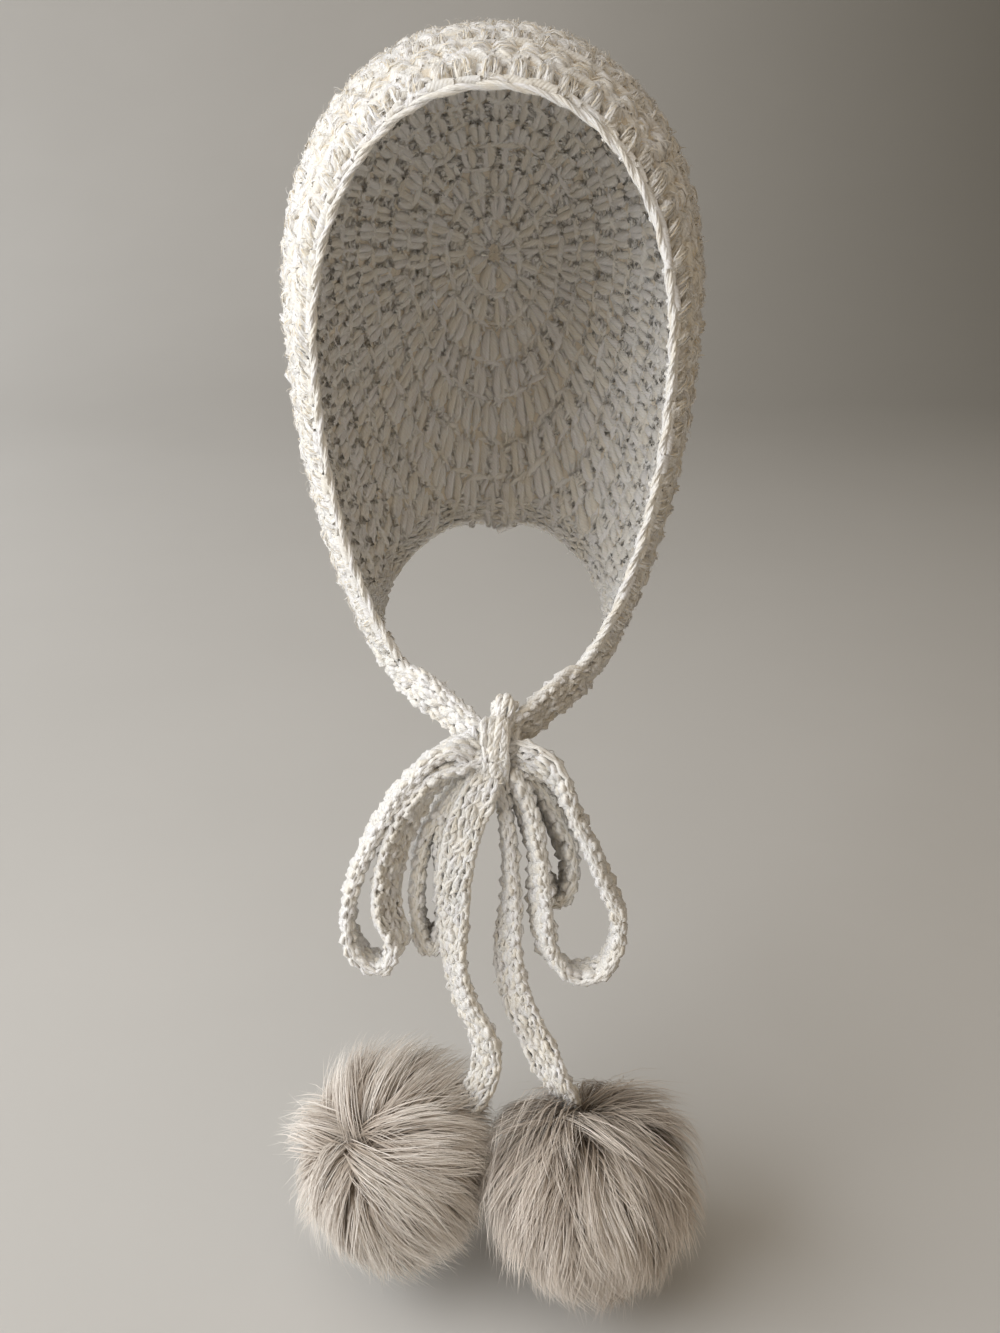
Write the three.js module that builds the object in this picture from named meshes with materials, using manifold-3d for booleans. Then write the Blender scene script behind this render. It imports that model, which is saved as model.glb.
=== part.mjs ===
// A crocheted bonnet as it is worn: a hood open at the face and the neck, a braided edging round the
// face, a neck band that runs on into two ties, their knotted bow, and a fur pompom on each hanging end.
// Millimetres. +Z is up, the face opening looks along -Y, and the wearer's left side is at +X.
// The origin is the inner top of the crown, where the bonnet sits on the head.
import * as THREE from "three";
import { mergeVertices } from "three/addons/utils/BufferGeometryUtils.js";
import Module from "manifold-3d";

const wasm = await Module();
wasm.setup();

// Driving dimensions
const WALL = 5; // the thickness of the crocheted fabric
const CROWN = WALL / 2; // the middle of the wall over the inner top of the crown
const GAP = 0.3; // between one piece and the next
const POLE = { y: 100, z: -95 }; // the closed back, where the rounds start
const WAIST = { y: 10, half: 78.2, up: 90 + CROWN, middle: -90, down: 183 }; // the widest section
const STRAIGHT = 26; // the stretch in front of the waist that keeps its section
const FACE = { y: -57.9, half: 59.2, up: 96.7, middle: -117.8, down: 126.2 }; // where the front would end
const FACE_ANGLE = 27.5; // the front is a quarter round, cut off at this angle for the edging
const NAPE_TUCK = 62; // how much the hood rises towards the nape
const CROWN_POWER = 2.15; // the upper half is a little squarer than an ellipse
const NECK = { nape: 46.4, half: 44, corner: 35.5, power: 2.4, flare: 1.4 }; // angles of the neck opening
const EDGING = { wide: 5.5, thick: 5, turn: 0.2, end: 2.5, steps: 50, sides: 8 };
const BAND = { tall: 12, thick: 4.6 };
const TIE_THICK = 4.6;
const TIE_REACH = 40; // how far out the ties start, where the knot's own offset fades out
const LOOP = { wide: 13, thick: 4.2 };
const KNOT = { x: 1, y: -84, z: -254 };

const IVORY = { color: 0xe9e2d6, roughness: 0.85, metalness: 0 };
const FUR = { color: 0xb5a593, roughness: 0.9, metalness: 0 };

const rad = THREE.MathUtils.degToRad;
const mix = THREE.MathUtils.lerp;
const vec = (x, y, z) => new THREE.Vector3(x, y, z);

// A closed surface from rows of points of one length. Each row is a ring.
function loft(rings) {
  const count = rings[0].length;
  const points = rings.flat();
  const faces = [];
  for (let i = 0; i + 1 < rings.length; i++)
    for (let j = 0; j < count; j++) {
      const a = i * count + j;
      const b = i * count + ((j + 1) % count);
      faces.push(a, b, b + count, a, b + count, a + count);
    }
  for (const [row, turn] of [[0, false], [rings.length - 1, true]]) {
    const centre = vec(0, 0, 0);
    rings[row].forEach((p) => centre.add(p));
    points.push(centre.divideScalar(count));
    for (let j = 0; j < count; j++) {
      const a = row * count + j;
      const b = row * count + ((j + 1) % count);
      faces.push(points.length - 1, ...(turn ? [a, b] : [b, a]));
    }
  }
  return closed(points, faces);
}

// A geometry from points and faces, with shared corners merged and all faces turned outwards.
function closed(points, faces) {
  const made = new THREE.BufferGeometry().setFromPoints(points);
  made.setIndex(faces);
  const merged = mergeVertices(made, 1e-3);
  const index = merged.index.array;
  const at = (i) => vec().fromBufferAttribute(merged.attributes.position, i);
  const kept = [];
  let volume = 0;
  for (let i = 0; i < index.length; i += 3) {
    const [a, b, c] = index.slice(i, i + 3);
    if (a === b || b === c || c === a) continue;
    kept.push([a, b, c]);
    volume += at(a).dot(at(b).cross(at(c)));
  }
  merged.setIndex(kept.flatMap(([a, b, c]) => (volume < 0 ? [a, c, b] : [a, b, c])));
  return merged;
}

// Joining and cutting
function solid(geometry) {
  const bare = new THREE.BufferGeometry().setAttribute("position", geometry.attributes.position);
  if (geometry.index) bare.setIndex(geometry.index);
  const merged = mergeVertices(bare, 1e-4);
  const mesh = { numProp: 3, vertProperties: merged.attributes.position.array };
  mesh.triVerts = new Uint32Array(merged.index.array);
  return new wasm.Manifold(new wasm.Mesh(mesh));
}

function geometry(body) {
  const { vertProperties, triVerts } = body.getMesh();
  const made = new THREE.BufferGeometry();
  made.setAttribute("position", new THREE.BufferAttribute(vertProperties, 3));
  return made.setIndex(new THREE.BufferAttribute(triVerts, 1));
}

const join = (bodies) => bodies.reduce((whole, next) => whole.add(next));
const cut = (body, tools) => tools.reduce((rest, tool) => rest.subtract(tool), body);
const largest = (body) => body.decompose().sort((a, b) => b.volume() - a.volume())[0];

// A section across the hood at stage v: 0 is the back pole, 1 the waist, 2 the end of the straight
// stretch and 3 the edge at the face. It gives the middle of the wall.
function section(v) {
  if (v <= 1) {
    const s = Math.sin((v * Math.PI) / 2);
    const c = Math.cos((v * Math.PI) / 2);
    const y = mix(WAIST.y, POLE.y, c);
    const middle = mix(POLE.z, WAIST.middle, s);
    return { y, middle, half: WAIST.half * s, up: WAIST.up * s, down: (WAIST.down - NAPE_TUCK * c * c) * s };
  }
  if (v <= 2) return { ...WAIST, y: WAIST.y - STRAIGHT * (v - 1) };
  const angle = rad(mix(90, FACE_ANGLE, v - 2));
  const s = Math.sin(angle);
  const y = mix(FACE.y, WAIST.y - STRAIGHT, 1 - Math.cos(angle));
  const blend = (name) => mix(FACE[name], WAIST[name], s);
  return { y, middle: blend("middle"), half: blend("half"), up: blend("up"), down: blend("down") };
}

// A point of the hood at stage v, at an angle round from straight down towards +X.
function hoodPoint(v, angle) {
  const { y, middle, half, up, down } = section(v);
  const s = Math.sin(angle);
  const c = Math.cos(angle);
  if (c >= 0) return vec(half * s, y, middle - down * c);
  const square = (Math.abs(s) ** CROWN_POWER + Math.abs(c) ** CROWN_POWER) ** (-1 / CROWN_POWER);
  return vec(half * s * square, y, middle - up * c * square);
}

// The directions of the fabric there: along (towards the face), round and out.
function hoodFrame(v, angle) {
  const step = 1e-3;
  const stage = Math.min(Math.max(v, step), 3 - step);
  const along = hoodPoint(stage + step, angle).sub(hoodPoint(stage - step, angle)).normalize();
  const round = hoodPoint(stage, angle + step).sub(hoodPoint(stage, angle - step)).normalize();
  const out = v < step ? vec(0, 1, 0) : vec().crossVectors(along, round).normalize();
  return { point: hoodPoint(v, angle), along, round, out };
}

// Half of the angle that the neck opening takes at stage v.
function neckHalf(v) {
  const angle = 90 * v;
  if (angle <= NECK.nape) return 0;
  if (v <= 1) {
    const t = (90 - angle) / (90 - NECK.nape);
    return rad(NECK.half * (1 - t ** NECK.power) ** (1 / NECK.power));
  }
  if (v <= 2) return rad(NECK.half);
  return rad(NECK.half - (NECK.half - NECK.corner) * (v - 2) ** NECK.flare);
}

// Stages of the rows: closed rounds, then rows that open from the nape, then the front.
const NAPE_STAGE = NECK.nape / 90;
const OPEN_STAGES = [15, 30, 45, 60, 75, 90].map(
  (a) => 1 - ((90 - NECK.nape) / 90) * Math.cos(rad(a)),
);
const STAGES = [0.12, 0.24, 0.34, 0.43, NAPE_STAGE, ...OPEN_STAGES, 2, 2.28, 2.54, 2.78, 3];
const COLUMNS = 44;

function hoodShell() {
  const points = [];
  const faces = [];
  const add = (p) => points.push(p) - 1;
  const skins = [1, -1].map((side) => {
    const at = (v, angle) => {
      const frame = hoodFrame(v, angle);
      return add(frame.point.addScaledVector(frame.out, (side * WALL) / 2));
    };
    const rows = [Array(COLUMNS + 1).fill(at(0, 0))];
    for (const v of STAGES) {
      const half = neckHalf(v);
      const row = [];
      for (let j = 0; j <= COLUMNS; j++)
        row.push(at(v, mix(half, 2 * Math.PI - half, j / COLUMNS)));
      rows.push(row);
    }
    return rows;
  });
  const quad = (a, b, c, d) => faces.push(a, b, c, a, c, d);
  const [outer, inner] = skins;
  for (let i = 0; i + 1 < outer.length; i++)
    for (let j = 0; j < COLUMNS; j++) {
      quad(outer[i][j], outer[i + 1][j], outer[i + 1][j + 1], outer[i][j + 1]);
      quad(inner[i][j], inner[i][j + 1], inner[i + 1][j + 1], inner[i + 1][j]);
    }
  const last = outer.length - 1;
  for (let j = 0; j < COLUMNS; j++)
    quad(outer[last][j], inner[last][j], inner[last][j + 1], outer[last][j + 1]);
  const nape = 1 + STAGES.indexOf(NAPE_STAGE);
  for (let i = nape; i < last; i++) {
    quad(outer[i][0], inner[i][0], inner[i + 1][0], outer[i + 1][0]);
    quad(outer[i][COLUMNS], outer[i + 1][COLUMNS], inner[i + 1][COLUMNS], inner[i][COLUMNS]);
  }
  return closed(points, faces);
}

// A flat band with rounded edges along a list of sections: its middle, the direction of its width,
// how wide and how thick it is. grow makes it larger all round.
const PROFILE = [[0.5, 0], [0.36, 0.5], [-0.36, 0.5], [-0.5, 0], [-0.36, -0.5], [0.36, -0.5]];

function band(sections, grow = 0) {
  const rings = sections.map(({ at, across, wide, thick }, i) => {
    const before = sections[Math.max(i - 1, 0)].at;
    const after = sections[Math.min(i + 1, sections.length - 1)].at;
    const tangent = after.clone().sub(before).normalize();
    const u = across.clone().addScaledVector(tangent, -across.dot(tangent)).normalize();
    const n = vec().crossVectors(tangent, u);
    return PROFILE.map(([a, b]) =>
      at.clone().addScaledVector(u, a * (wide + 2 * grow)).addScaledVector(n, b * (thick + 2 * grow)),
    );
  });
  return loft(rings);
}

// The braided edging: a rope round the face opening, turned a little inwards.
function faceEdging(grow = 0) {
  const { wide, thick, turn, steps, sides } = EDGING;
  const start = neckHalf(3) + rad(EDGING.end);
  const rings = [];
  for (let i = 0; i <= steps; i++) {
    const { point, along, out } = hoodFrame(3, mix(start, 2 * Math.PI - start, i / steps));
    const inward = along.clone().addScaledVector(out, -turn).normalize();
    const normal = out.clone().addScaledVector(along, turn).normalize();
    const middle = point.addScaledVector(along, GAP).addScaledVector(inward, wide / 2);
    const ring = [];
    for (let k = 0; k < sides; k++) {
      const a = (2 * Math.PI * (k + 0.5)) / sides;
      const p = middle.clone().addScaledVector(inward, Math.cos(a) * (wide / 2 + grow));
      ring.push(p.addScaledVector(normal, Math.sin(a) * (thick / 2 + grow)));
    }
    rings.push(ring);
  }
  return loft(rings);
}

// A section of the band that hangs from the neck edge of the hood, at stage v on one side.
function neckSection(v, side) {
  const half = neckHalf(v);
  const frame = hoodFrame(v, side * half);
  const near = 2e-3;
  const on = (stage) => hoodPoint(stage, side * neckHalf(stage));
  const edge = v - near < NAPE_STAGE ? vec(side, 0, 0) : on(v).sub(on(v - near)).normalize();
  const across = vec().crossVectors(edge, frame.out).multiplyScalar(side).normalize();
  if (across.z > 0) across.negate();
  const at = frame.point.addScaledVector(across, GAP + BAND.tall / 2);
  return { at, across, out: frame.out, along: frame.along, wide: BAND.tall, thick: BAND.thick };
}

function neckBand(grow = 0) {
  const stages = [...OPEN_STAGES, 1.5, 2, 2.25, 2.5, 2.75, 3];
  const left = stages.map((v) => neckSection(v, -1)).reverse();
  const right = stages.map((v) => neckSection(v, 1));
  return band([...left, neckSection(NAPE_STAGE, 1), ...right], grow);
}

// The ties: each leaves the neck band at the front corner and runs in to the knot.
const TIE = [
  { out: 30, y: -59.5, z: -238, lean: 0.36, wide: 14.5 },
  { out: 20, y: -67.5, z: -243, lean: 0.32, wide: 14.5 },
  { out: 11.5, y: -75, z: -247.5, lean: 0.25, wide: 13.5 },
  { out: 3, y: -81, z: -251, lean: 0.15, wide: 12.5 },
];

function tie(side) {
  const start = neckSection(3, side);
  const first = { ...start, at: start.at.clone().addScaledVector(start.along, GAP) };
  const sections = TIE.map(({ out, y, z, lean, wide }) => ({
    at: vec(side * out + KNOT.x * (1 - out / TIE_REACH), y, z),
    across: vec(side * lean, 0.25, -1),
    wide,
    thick: TIE_THICK,
  }));
  return smooth([first, ...sections], 9);
}

// More sections between the given ones, on a smooth curve.
function smooth(sections, count) {
  const curve = new THREE.CatmullRomCurve3(sections.map((s) => s.at));
  const made = [];
  for (let i = 0; i <= count; i++) {
    const place = (i / count) * (sections.length - 1);
    const k = Math.min(Math.floor(place), sections.length - 2);
    const f = place - k;
    const [a, b] = [sections[k], sections[k + 1]];
    const across = a.across.clone().lerp(b.across, f).normalize();
    const at = curve.getPoint(i / count);
    made.push({ at, across, wide: mix(a.wide, b.wide, f), thick: mix(a.thick, b.thick, f) });
  }
  return made;
}

// The knot: the wrap, its core between the ties, and the crossing that shows above it.
const KNOT_LUMPS = [
  { x: 0, y: 0, z: 0, half: [6.2, 9, 15] },
  { x: 0, y: 5, z: -1, half: [10, 7, 10] },
  { x: 3, y: 8, z: 13.5, half: [6.6, 6, 8] },
];

function knot(grow = 0) {
  return join(
    KNOT_LUMPS.map(({ x, y, z, half }) => {
      const lump = new THREE.SphereGeometry(1, 12, 8);
      lump.rotateX(Math.PI / 2);
      lump.scale(...half.map((size) => size + grow));
      lump.translate(KNOT.x + x, KNOT.y + y, KNOT.z + z);
      return solid(lump);
    }),
  );
}

// The bow loops, hanging from the knot. turn is the angle of the band's width from straight forward
// towards +X: 0 shows the band edge on from the front, 90 shows its face.
const LOOPS = {
  right_front: [
    { x: 5, y: -83, z: -258, turn: 60 },
    { x: 14, y: -86, z: -257, turn: 50 },
    { x: 23, y: -87, z: -262, turn: 20 },
    { x: 33, y: -88, z: -282, turn: 0 },
    { x: 43, y: -90, z: -305, turn: 0 },
    { x: 51, y: -92, z: -329, turn: 0 },
    { x: 46, y: -94, z: -348, turn: 0 },
    { x: 34, y: -93, z: -353, turn: 5 },
    { x: 23, y: -92, z: -343, turn: 30 },
    { x: 19, y: -90, z: -322, turn: 35 },
    { x: 18, y: -88, z: -300, turn: 20 },
    { x: 14, y: -86, z: -279, turn: 20 },
    { x: 6, y: -84, z: -262, turn: 40 },
  ],
  right_back: [
    { x: 5, y: -80, z: -259, turn: 40 },
    { x: 15, y: -79, z: -271, turn: 35 },
    { x: 22, y: -79, z: -283, turn: 35 },
    { x: 29, y: -80, z: -299, turn: 30 },
    { x: 31, y: -81, z: -315, turn: 10 },
    { x: 26, y: -81, z: -324, turn: 0 },
    { x: 20, y: -80, z: -311, turn: 0 },
    { x: 13, y: -78, z: -286, turn: 0 },
    { x: 4, y: -79, z: -262, turn: 0 },
  ],
  left_front: [
    { x: -3, y: -84, z: -254, turn: -40 },
    { x: -13, y: -86, z: -251, turn: -40 },
    { x: -25, y: -87, z: -257, turn: -15 },
    { x: -38, y: -88, z: -273, turn: 0 },
    { x: -50, y: -90, z: -294, turn: 0 },
    { x: -58, y: -92, z: -318, turn: 0 },
    { x: -57, y: -94, z: -338, turn: 0 },
    { x: -47, y: -96, z: -346, turn: 0 },
    { x: -39, y: -96, z: -337, turn: -25 },
    { x: -43, y: -94, z: -320, turn: -50 },
    { x: -41, y: -92, z: -302, turn: -50 },
    { x: -35, y: -90, z: -283, turn: -50 },
    { x: -22, y: -88, z: -264, turn: -45 },
    { x: -4, y: -85, z: -256, turn: -40 },
  ],
  left_back: [
    { x: -2, y: -80, z: -260, turn: 0 },
    { x: -15, y: -80, z: -274, turn: 0 },
    { x: -26, y: -80, z: -291, turn: 0 },
    { x: -31, y: -82, z: -314, turn: 0 },
    { x: -31, y: -83, z: -334, turn: 0 },
    { x: -26, y: -84, z: -346, turn: 0 },
    { x: -21, y: -83, z: -334, turn: 0 },
    { x: -21, y: -82, z: -312, turn: 0 },
    { x: -20, y: -81, z: -288, turn: 0 },
    { x: -12, y: -81, z: -268, turn: 0 },
    { x: -1, y: -81, z: -258, turn: 0 },
  ],
};

function bowSections(rows, spacing = 8) {
  const sections = rows.map(({ x, y, z, turn, wide = LOOP.wide }) => ({
    at: vec(x, y, z),
    across: vec(Math.sin(rad(turn)), -Math.cos(rad(turn)), 0),
    wide,
    thick: LOOP.thick,
  }));
  const length = new THREE.CatmullRomCurve3(sections.map((s) => s.at)).getLength();
  return smooth(sections, Math.round(length / spacing));
}

// The hanging ends, from the knot down into the pompoms.
const TAILS = {
  left: [
    { x: 0, y: -88, z: -256, turn: -70, wide: 10 },
    { x: -5, y: -92, z: -268, turn: -70, wide: 13 },
    { x: -11, y: -93, z: -283, turn: -70, wide: 13.5 },
    { x: -15, y: -95, z: -302, turn: -65, wide: 13.5 },
    { x: -16, y: -96, z: -322, turn: -55, wide: 13 },
    { x: -16, y: -98, z: -343, turn: -40, wide: 12.5 },
    { x: -12, y: -99, z: -361, turn: -40, wide: 12.5 },
    { x: -5, y: -101, z: -377, turn: -55, wide: 12.5 },
    { x: -3, y: -103, z: -392, turn: -60, wide: 12.5 },
    { x: -10, y: -106, z: -405, turn: -60, wide: 12 },
    { x: -18, y: -107, z: -414, turn: -60, wide: 12 },
  ],
  right: [
    { x: 2, y: -82, z: -262, turn: 0, wide: 10 },
    { x: 5, y: -83, z: -282, turn: 5, wide: 13 },
    { x: 7, y: -85, z: -305, turn: 10, wide: 13 },
    { x: 7, y: -88, z: -324, turn: 25, wide: 13 },
    { x: 6, y: -92, z: -344, turn: 50, wide: 13 },
    { x: 10, y: -97, z: -364, turn: 65, wide: 13 },
    { x: 17, y: -102, z: -379, turn: 65, wide: 13 },
    { x: 25, y: -110, z: -393, turn: 60, wide: 13 },
    { x: 31, y: -114, z: -405, turn: 60, wide: 12 },
    { x: 34, y: -117, z: -416, turn: 60, wide: 12 },
  ],
};

// The pompoms: a round head with locks of fur that start at a crown and fall away from it.
const POMPOMS = {
  left: { at: [-43, -110, -436], head: [34, 36, 34], locks: 30, reach: 1.3, crown: [-0.55, -0.45, 0.7] },
  right: { at: [40, -119, -438], head: [36, 38, 33], locks: 30, reach: 1.3, crown: [-0.1, 0.05, 1] },
};
// A lock's half width at its root, its taper, and its path: how far out and how far along the fall.
const LOCK = { base: 9, widths: [1, 0.9, 0.18], sides: 4, flat: 0.7 };
const LOCK_PATH = [
  { out: 0.76, fall: 0 },
  { out: 1.12, fall: 0.3 },
  { out: 1, fall: 0.85 },
];
const SAG = 0.25; // the pull of gravity on a lock beside the pull away from the crown

function pompom({ at, head, locks, reach, crown }, grow = 0) {
  const ball = new THREE.SphereGeometry(1, 12, 9);
  ball.scale(...head.map((size) => size + grow));
  const parts = [solid(ball)];
  const top = vec(...crown).normalize();
  for (let i = 0; i < locks; i++) {
    const height = 1 - (2 * (i + 0.5)) / locks;
    const turn = i * Math.PI * (3 - Math.sqrt(5));
    const ringRadius = Math.sqrt(1 - height * height);
    const from = vec(ringRadius * Math.cos(turn), ringRadius * Math.sin(turn), height);
    const fall = vec(0, 0, -SAG).sub(top);
    fall.addScaledVector(from, -fall.dot(from)).normalize();
    const path = LOCK_PATH.map(({ out, fall: share }, k) => {
      const tip = k === LOCK_PATH.length - 1 ? reach - 0.06 * (i % 3) : 1;
      const p = from.clone().addScaledVector(fall, share).normalize().multiplyScalar(out * tip);
      return vec(p.x * head[0], p.y * head[1], p.z * head[2]);
    });
    const rings = path.map((p, k) => {
      const next = path[Math.min(k + 1, path.length - 1)];
      const past = path[Math.max(k - 1, 0)];
      const tangent = next.clone().sub(past).normalize();
      const side = vec().crossVectors(tangent, from).normalize();
      const lift = vec().crossVectors(side, tangent);
      const radius = LOCK.base * LOCK.widths[k] + grow;
      return Array.from({ length: LOCK.sides }, (_, n) => {
        const a = (2 * Math.PI * n) / LOCK.sides;
        const q = p.clone().addScaledVector(side, Math.cos(a) * radius);
        return q.addScaledVector(lift, Math.sin(a) * radius * LOCK.flat);
      });
    });
    parts.push(solid(loft(rings)));
  }
  return join(parts).translate(at);
}

// The two pompoms press against each other at a plane: the room on one side of it.
const MEETING = { x: -0.5, y: -120, z: -440, room: 200 };
function roomBeside(side) {
  const { x, y, z, room } = MEETING;
  const block = new THREE.BoxGeometry(room, room, room);
  block.translate(x + (side * (room + GAP)) / 2, y, z);
  return solid(block);
}

const group = new THREE.Group();
function place(name, shape, look) {
  const mesh = new THREE.Mesh(shape, new THREE.MeshStandardMaterial(look));
  mesh.name = name;
  group.add(mesh);
}

// A loop as one solid: its way out and its way back start in the same place, so they are joined.
function loop(sections, grow = 0) {
  const turn = Math.floor(sections.length / 2);
  return solid(band(sections.slice(0, turn + 1), grow)).add(solid(band(sections.slice(turn), grow)));
}

const tails = { left: bowSections(TAILS.left), right: bowSections(TAILS.right) };
const loops = Object.fromEntries(Object.entries(LOOPS).map(([name, rows]) => [name, bowSections(rows)]));
const fur = {
  left: pompom(POMPOMS.left).intersect(roomBeside(-1)),
  right: pompom(POMPOMS.right).intersect(roomBeside(1)),
};
const grown = {
  knot: knot(GAP),
  neck: solid(neckBand(GAP)),
  edging: solid(faceEdging(GAP)),
  tailLeft: solid(band(tails.left, GAP)),
  tailRight: solid(band(tails.right, GAP)),
  loopsRight: loop(loops.right_front, GAP).add(loop(loops.right_back, GAP)),
  furLeft: pompom(POMPOMS.left, GAP),
  furRight: pompom(POMPOMS.right, GAP),
};

place("hood_shell", hoodShell(), IVORY);
place("face_edging", faceEdging(), IVORY);
place("neck_band", neckBand(), IVORY);
place("bow_knot", geometry(knot()), IVORY);
for (const [name, side] of [["left", -1], ["right", 1]]) {
  const strip = cut(solid(band(tie(side))), [grown.knot, grown.neck, grown.edging]);
  place("tie_" + name, geometry(largest(strip)), IVORY);
}
const around = [grown.knot, ...[-1, 1].map((side) => solid(band(tie(side), GAP)))];
place("tail_left", geometry(largest(cut(solid(band(tails.left)), [...around, grown.furLeft]))), IVORY);
around.push(grown.tailLeft);
place("tail_right", geometry(largest(cut(solid(band(tails.right)), [...around, grown.furRight]))), IVORY);
around.push(grown.tailRight);
const right = loop(loops.right_front).add(loop(loops.right_back));
place("bow_loops_right", geometry(largest(cut(right, around))), IVORY);
around.push(grown.loopsRight);
const left = loop(loops.left_front).add(loop(loops.left_back));
place("bow_loops_left", geometry(largest(cut(left, around))), IVORY);
place("pompom_left", geometry(largest(fur.left)), FUR);
place("pompom_right", geometry(largest(fur.right)), FUR);

export default group;
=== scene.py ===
"""A crocheted bonnet with a braided face edging, a tied bow and two fur pompoms, as a Blender scene."""
import math

import bpy
import numpy as np
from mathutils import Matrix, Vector
from numpy import arange, clip, cos, interp, linspace, sin, stack, where


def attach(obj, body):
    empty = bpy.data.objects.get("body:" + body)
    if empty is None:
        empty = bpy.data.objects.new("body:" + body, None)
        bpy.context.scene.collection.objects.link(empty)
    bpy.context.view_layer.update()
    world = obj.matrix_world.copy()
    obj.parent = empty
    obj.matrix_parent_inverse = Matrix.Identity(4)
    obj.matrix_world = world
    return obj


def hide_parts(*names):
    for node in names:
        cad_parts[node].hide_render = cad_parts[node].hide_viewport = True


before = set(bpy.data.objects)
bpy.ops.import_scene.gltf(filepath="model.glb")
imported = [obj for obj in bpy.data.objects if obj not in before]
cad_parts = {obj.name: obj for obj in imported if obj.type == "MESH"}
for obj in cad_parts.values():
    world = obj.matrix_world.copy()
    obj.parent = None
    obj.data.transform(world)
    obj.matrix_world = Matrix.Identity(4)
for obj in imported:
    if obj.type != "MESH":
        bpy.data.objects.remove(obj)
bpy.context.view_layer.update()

PI = math.pi
MM = 0.001  # shapes are worked out in millimetres, lamps and the camera in metres
rng = np.random.default_rng(20260)


# Small helpers on arrays of points
def mix(a, b, t):
    return a + (b - a) * t


def unit(a):
    return a / np.maximum(np.linalg.norm(a, axis=-1, keepdims=True), 1e-9)


def dot(a, b):
    return np.sum(a * b, axis=-1, keepdims=True)


def lengths(paths):
    """How far along its path each point lies."""
    steps = np.linalg.norm(np.diff(paths, axis=-2), axis=-1)
    return np.concatenate([np.zeros((*steps.shape[:-1], 1)), np.cumsum(steps, -1)], -1)


def normal(shape, size, limit=2.4):
    """Normal random values of a size, none further out than the limit."""
    return clip(rng.normal(0, 1, shape), -limit, limit) * size


# The hood's form, with the same driving dimensions as the solids. A stage v is 0 at the back pole,
# 1 at the waist, 2 at the end of the straight stretch and 3 at the face edge, and an angle goes
# round from straight down towards +X
POLE = {"y": 100, "middle": -95}
WAIST = {"y": 10, "middle": -90, "half": 78.2, "up": 92.5, "down": 183}
STRAIGHT = 26  # the stretch in front of the waist that keeps its section
FACE = {"y": -57.9, "middle": -117.8, "half": 59.2, "up": 96.7, "down": 126.2}
FACE_ANGLE = 27.5  # the front is a quarter round, cut off at this angle
NAPE_TUCK = 62  # how much the hood rises towards the nape
CROWN_POWER = 2.15  # the upper half is a little squarer than an ellipse
NECK = {"nape": 46.4, "half": 44, "corner": 35.5, "power": 2.4, "flare": 1.4}
NAPE_STAGE = NECK["nape"] / 90


def section(v):
    """The hood's section at a stage: y, middle, half the width, and the reach up and down."""
    v = np.asarray(v, float)
    s = sin(clip(v, 0, 1) * PI / 2)
    c = cos(clip(v, 0, 1) * PI / 2)
    y = mix(WAIST["y"], POLE["y"], c)
    middle = mix(POLE["middle"], WAIST["middle"], s)
    down = (WAIST["down"] - NAPE_TUCK * c * c) * s
    back = stack([y, middle, WAIST["half"] * s, WAIST["up"] * s, down], -1)
    flat = stack([size + 0 * v for size in WAIST.values()], -1)
    flat[..., 0] -= STRAIGHT * (v - 1)
    turn = np.radians(mix(90, FACE_ANGLE, np.maximum(v, 2) - 2))
    front = stack([mix(FACE[key], WAIST[key], sin(turn)) for key in WAIST], -1)
    front[..., 0] = mix(FACE["y"], WAIST["y"] - STRAIGHT, 1 - cos(turn))
    v = v[..., None]
    return where(v <= 1, back, where(v <= 2, flat, front))


def hood_point(v, angle):
    v, angle = np.broadcast_arrays(v, angle)
    y, middle, half, up, down = np.moveaxis(section(v), -1, 0)
    s, c = sin(angle), cos(angle)
    square = (np.abs(s) ** CROWN_POWER + np.abs(c) ** CROWN_POWER) ** (-1 / CROWN_POWER)
    low = c >= 0
    square = where(low, 1, square)
    return stack([half * s * square, y, middle - where(low, down, up) * c * square], -1)


def hood_frame(v, angle):
    """Points of the hood, and there the directions along (towards the face) and out."""
    step = 1e-3
    stage = clip(v, step, 3 - step)
    along = unit(hood_point(stage + step, angle) - hood_point(stage - step, angle))
    round_ = unit(hood_point(stage, angle + step) - hood_point(stage, angle - step))
    return hood_point(v, angle), along, unit(np.cross(round_, along))


def neck_half(v):
    """Half the angle that the neck opening takes out of the section at a stage."""
    v = np.asarray(v, float)
    power, widest = NECK["power"], NECK["half"]
    t = clip((90 - 90 * v) / (90 - NECK["nape"]), 0, 1)
    back = np.radians(widest * (1 - t**power) ** (1 / power))
    front = np.radians(widest - (widest - NECK["corner"]) * np.maximum(v - 2, 0) ** NECK["flare"])
    return where(90 * v <= NECK["nape"], 0, where(v <= 1, back, front))


# Meshes from arrays
SQUARE = np.array([[0, 0], [1, 0], [1, 1], [0, 1]])


def linked(name, data):
    obj = bpy.data.objects.new(name, data)
    bpy.context.scene.collection.objects.link(obj)
    return obj


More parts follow.
